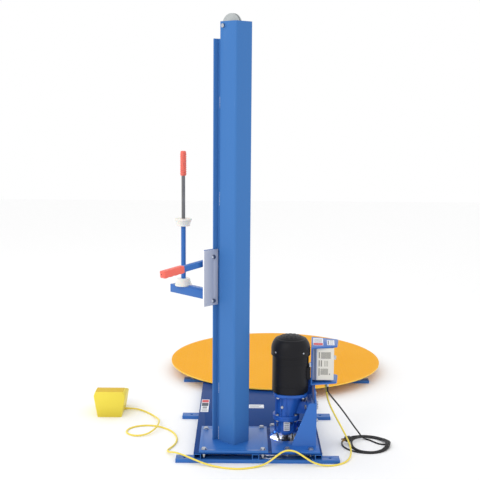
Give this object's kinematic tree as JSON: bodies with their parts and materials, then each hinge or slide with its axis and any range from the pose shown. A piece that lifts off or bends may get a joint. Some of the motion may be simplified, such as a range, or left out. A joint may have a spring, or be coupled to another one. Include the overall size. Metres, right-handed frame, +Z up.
{
  "type": "turntable pallet wrapper",
  "caption": "Semi-automatic stretch wrapper: a low chain-driven turntable, a mast with a counterweighted film carriage, a geared motor with its drive, and a guarded foot switch on a cord.",
  "frame": {"origin": "on the floor under the turntable's axis", "axes": "+Z up along the turntable's axis; the drive deck and mast stand towards -Y; the film arm points to -X +Y"},
  "size_m": [1.5456, 2.1932, 1.945],
  "materials": {
    "blue_enamel": "gloss",
    "zinc_plate": "satin",
    "casting_enamel": "satin",
    "black_enamel": "satin",
    "gland_nylon": "matte",
    "heatsink_alloy": "satin",
    "drive_plastic": "matte",
    "bare_steel": "satin",
    "cable_steel": "satin",
    "switch_yellow": "gloss",
    "yellow_jacket": "satin",
    "black_jacket": "satin",
    "plug_plastic": "matte",
    "disc_enamel": "satin",
    "knob_plastic": "matte",
    "pulley_alloy": "satin",
    "keeper_plastic": "gloss",
    "ground_rod": "satin",
    "red_grip": "satin",
    "cone_plastic": "satin",
    "pedal_plastic": "matte",
    "roller_nylon": "satin"
  },
  "bodies": {
    "root": {"front_foot_bar": "blue_enamel", "middle_foot_bar": "blue_enamel", "near_cross_bar": "blue_enamel", "centre_cross_bar": "blue_enamel", "rear_cross_bar": "blue_enamel", "left_frame_tube": "blue_enamel", "mast_frame_tube": "blue_enamel", "drive_frame_tube": "blue_enamel", "deck_plate": "blue_enamel", "mast_base_plate": "blue_enamel", "deck_bolts": "zinc_plate", "mast_tube": "blue_enamel", "carriage_rail": "blue_enamel", "pulley_axle": "zinc_plate", "motor_bracket": "blue_enamel", "gearbox_lower_housing": "casting_enamel", "gearbox_upper_housing": "casting_enamel", "motor_adapter_flange": "casting_enamel", "gearbox_bolts": "zinc_plate", "motor_body": "black_enamel", "motor_fan_cover": "black_enamel", "conduit_box": "black_enamel", "cable_glands": "gland_nylon", "control_channel": "blue_enamel", "drive_heatsink": "heatsink_alloy", "drive_cover": "drive_plastic", "pivot_post": "bare_steel", "roller_brackets": "zinc_plate", "drive_chain": "bare_steel", "lift_cable": "cable_steel", "counterweight_cable": "cable_steel", "foot_switch_base": "switch_yellow", "foot_switch_hood": "switch_yellow", "foot_cord": "yellow_jacket", "power_cord": "black_jacket", "power_cord_coil": "black_jacket", "power_plug": "plug_plastic"},
    "turntable": {"turntable_disc": "disc_enamel", "driven_sprocket": "bare_steel"},
    "gearbox_output": {"output_shaft": "bare_steel", "drive_sprocket": "bare_steel"},
    "rotor": {"motor_rotor": "bare_steel"},
    "roller_1": {"roller_1": "roller_nylon"},
    "roller_2": {"roller_2": "roller_nylon"},
    "roller_3": {"roller_3": "roller_nylon"},
    "roller_4": {"roller_4": "roller_nylon"},
    "speed_knob": {"speed_knob": "knob_plastic"},
    "lift_pulley": {"lift_pulley": "pulley_alloy"},
    "carriage": {"carriage_plate": "blue_enamel", "keeper_plates": "keeper_plastic", "keeper_bolts": "zinc_plate", "lower_arm": "blue_enamel", "spindle_rod": "ground_rod", "top_grip": "red_grip"},
    "lower_cone": {"lower_cone": "cone_plastic"},
    "upper_cone": {"upper_cone": "cone_plastic"},
    "brake_lever": {"brake_lever": "blue_enamel", "lever_grip": "red_grip"},
    "counterweight": {"counterweight": "bare_steel"},
    "foot_treadle": {"foot_treadle": "pedal_plastic"}
  },
  "joints": [
    {"name": "turntable_spin", "type": "hinge", "parent": "root", "child": "turntable", "pos_m": [0, 0, 0.05], "axis": [0, 0, 1], "continuous": true},
    {"name": "output_spin", "type": "hinge", "parent": "root", "child": "gearbox_output", "pos_m": [0.008, -1.298, 0.05], "axis": [0, 0, 1], "continuous": true},
    {"name": "rotor_spin", "type": "hinge", "parent": "root", "child": "rotor", "pos_m": [0.0245, -1.298, 0.4], "axis": [0, 0, 1], "continuous": true},
    {"name": "knob_turn", "type": "hinge", "parent": "root", "child": "speed_knob", "pos_m": [0.225, -1.262, 0.415], "axis": [1, 0, 0], "range_deg": [-135, 135]},
    {"name": "carriage_slide", "type": "slide", "parent": "root", "child": "carriage", "axis": [0, 0, 1], "range_m": [-0.58, 0.87], "deforming": ["lift_cable"]},
    {"name": "counterweight_slide", "type": "slide", "parent": "root", "child": "counterweight", "axis": [0, 0, 1], "range_m": [-0.87, 0.58], "deforming": ["counterweight_cable"]},
    {"name": "pulley_spin", "type": "hinge", "parent": "root", "child": "lift_pulley", "pos_m": [-0.24861, -1.34989, 1.891], "axis": [-0.7071, -0.7071, 0], "range_deg": [-980, 680]},
    {"name": "lower_cone_spin", "type": "hinge", "parent": "carriage", "child": "lower_cone", "pos_m": [-0.47142, -1.12708, 0.73], "axis": [0, 0, 1], "continuous": true},
    {"name": "upper_cone_slide", "type": "slide", "parent": "carriage", "child": "upper_cone", "axis": [0, 0, 1], "range_m": [0, 0.196]},
    {"name": "brake_lever_pivot", "type": "hinge", "parent": "carriage", "child": "brake_lever", "pos_m": [-0.32222, -1.32437, 0.8745], "axis": [-0.7071, 0.7071, 0], "range_deg": [-6, 7]},
    {"name": "treadle_press", "type": "hinge", "parent": "root", "child": "foot_treadle", "pos_m": [-0.857, -0.873, 0.04], "axis": [1, 0, 0], "range_deg": [-6, 0], "stiffness_Nm_per_rad": 3, "springref_deg": 6.88},
    {"name": "roller_1_spin", "type": "hinge", "parent": "root", "child": "roller_1", "pos_m": [-0.459, -0.2725, 0.03735], "axis": [-0.8599, -0.5105, 0], "continuous": true},
    {"name": "roller_2_spin", "type": "hinge", "parent": "root", "child": "roller_2", "pos_m": [0.459, -0.2725, 0.03735], "axis": [0.8599, -0.5105, 0], "continuous": true},
    {"name": "roller_3_spin", "type": "hinge", "parent": "root", "child": "roller_3", "pos_m": [-0.459, 0.2725, 0.03735], "axis": [-0.8599, 0.5105, 0], "continuous": true},
    {"name": "roller_4_spin", "type": "hinge", "parent": "root", "child": "roller_4", "pos_m": [0.459, 0.2725, 0.03735], "axis": [0.8599, 0.5105, 0], "continuous": true}
  ],
  "couplings": [
    {"joint": "output_spin", "follows": "turntable_spin", "ratio": 3.3333},
    {"joint": "rotor_spin", "follows": "turntable_spin", "ratio": 145.83},
    {"joint": "counterweight_slide", "follows": "carriage_slide", "ratio": -1},
    {"joint": "pulley_spin", "follows": "carriage_slide", "rad_per_m": -19.12},
    {"joint": "roller_1_spin", "follows": "turntable_spin", "ratio": -33.362},
    {"joint": "roller_2_spin", "follows": "turntable_spin", "ratio": -33.362},
    {"joint": "roller_3_spin", "follows": "turntable_spin", "ratio": -33.362},
    {"joint": "roller_4_spin", "follows": "turntable_spin", "ratio": -33.362}
  ]
}
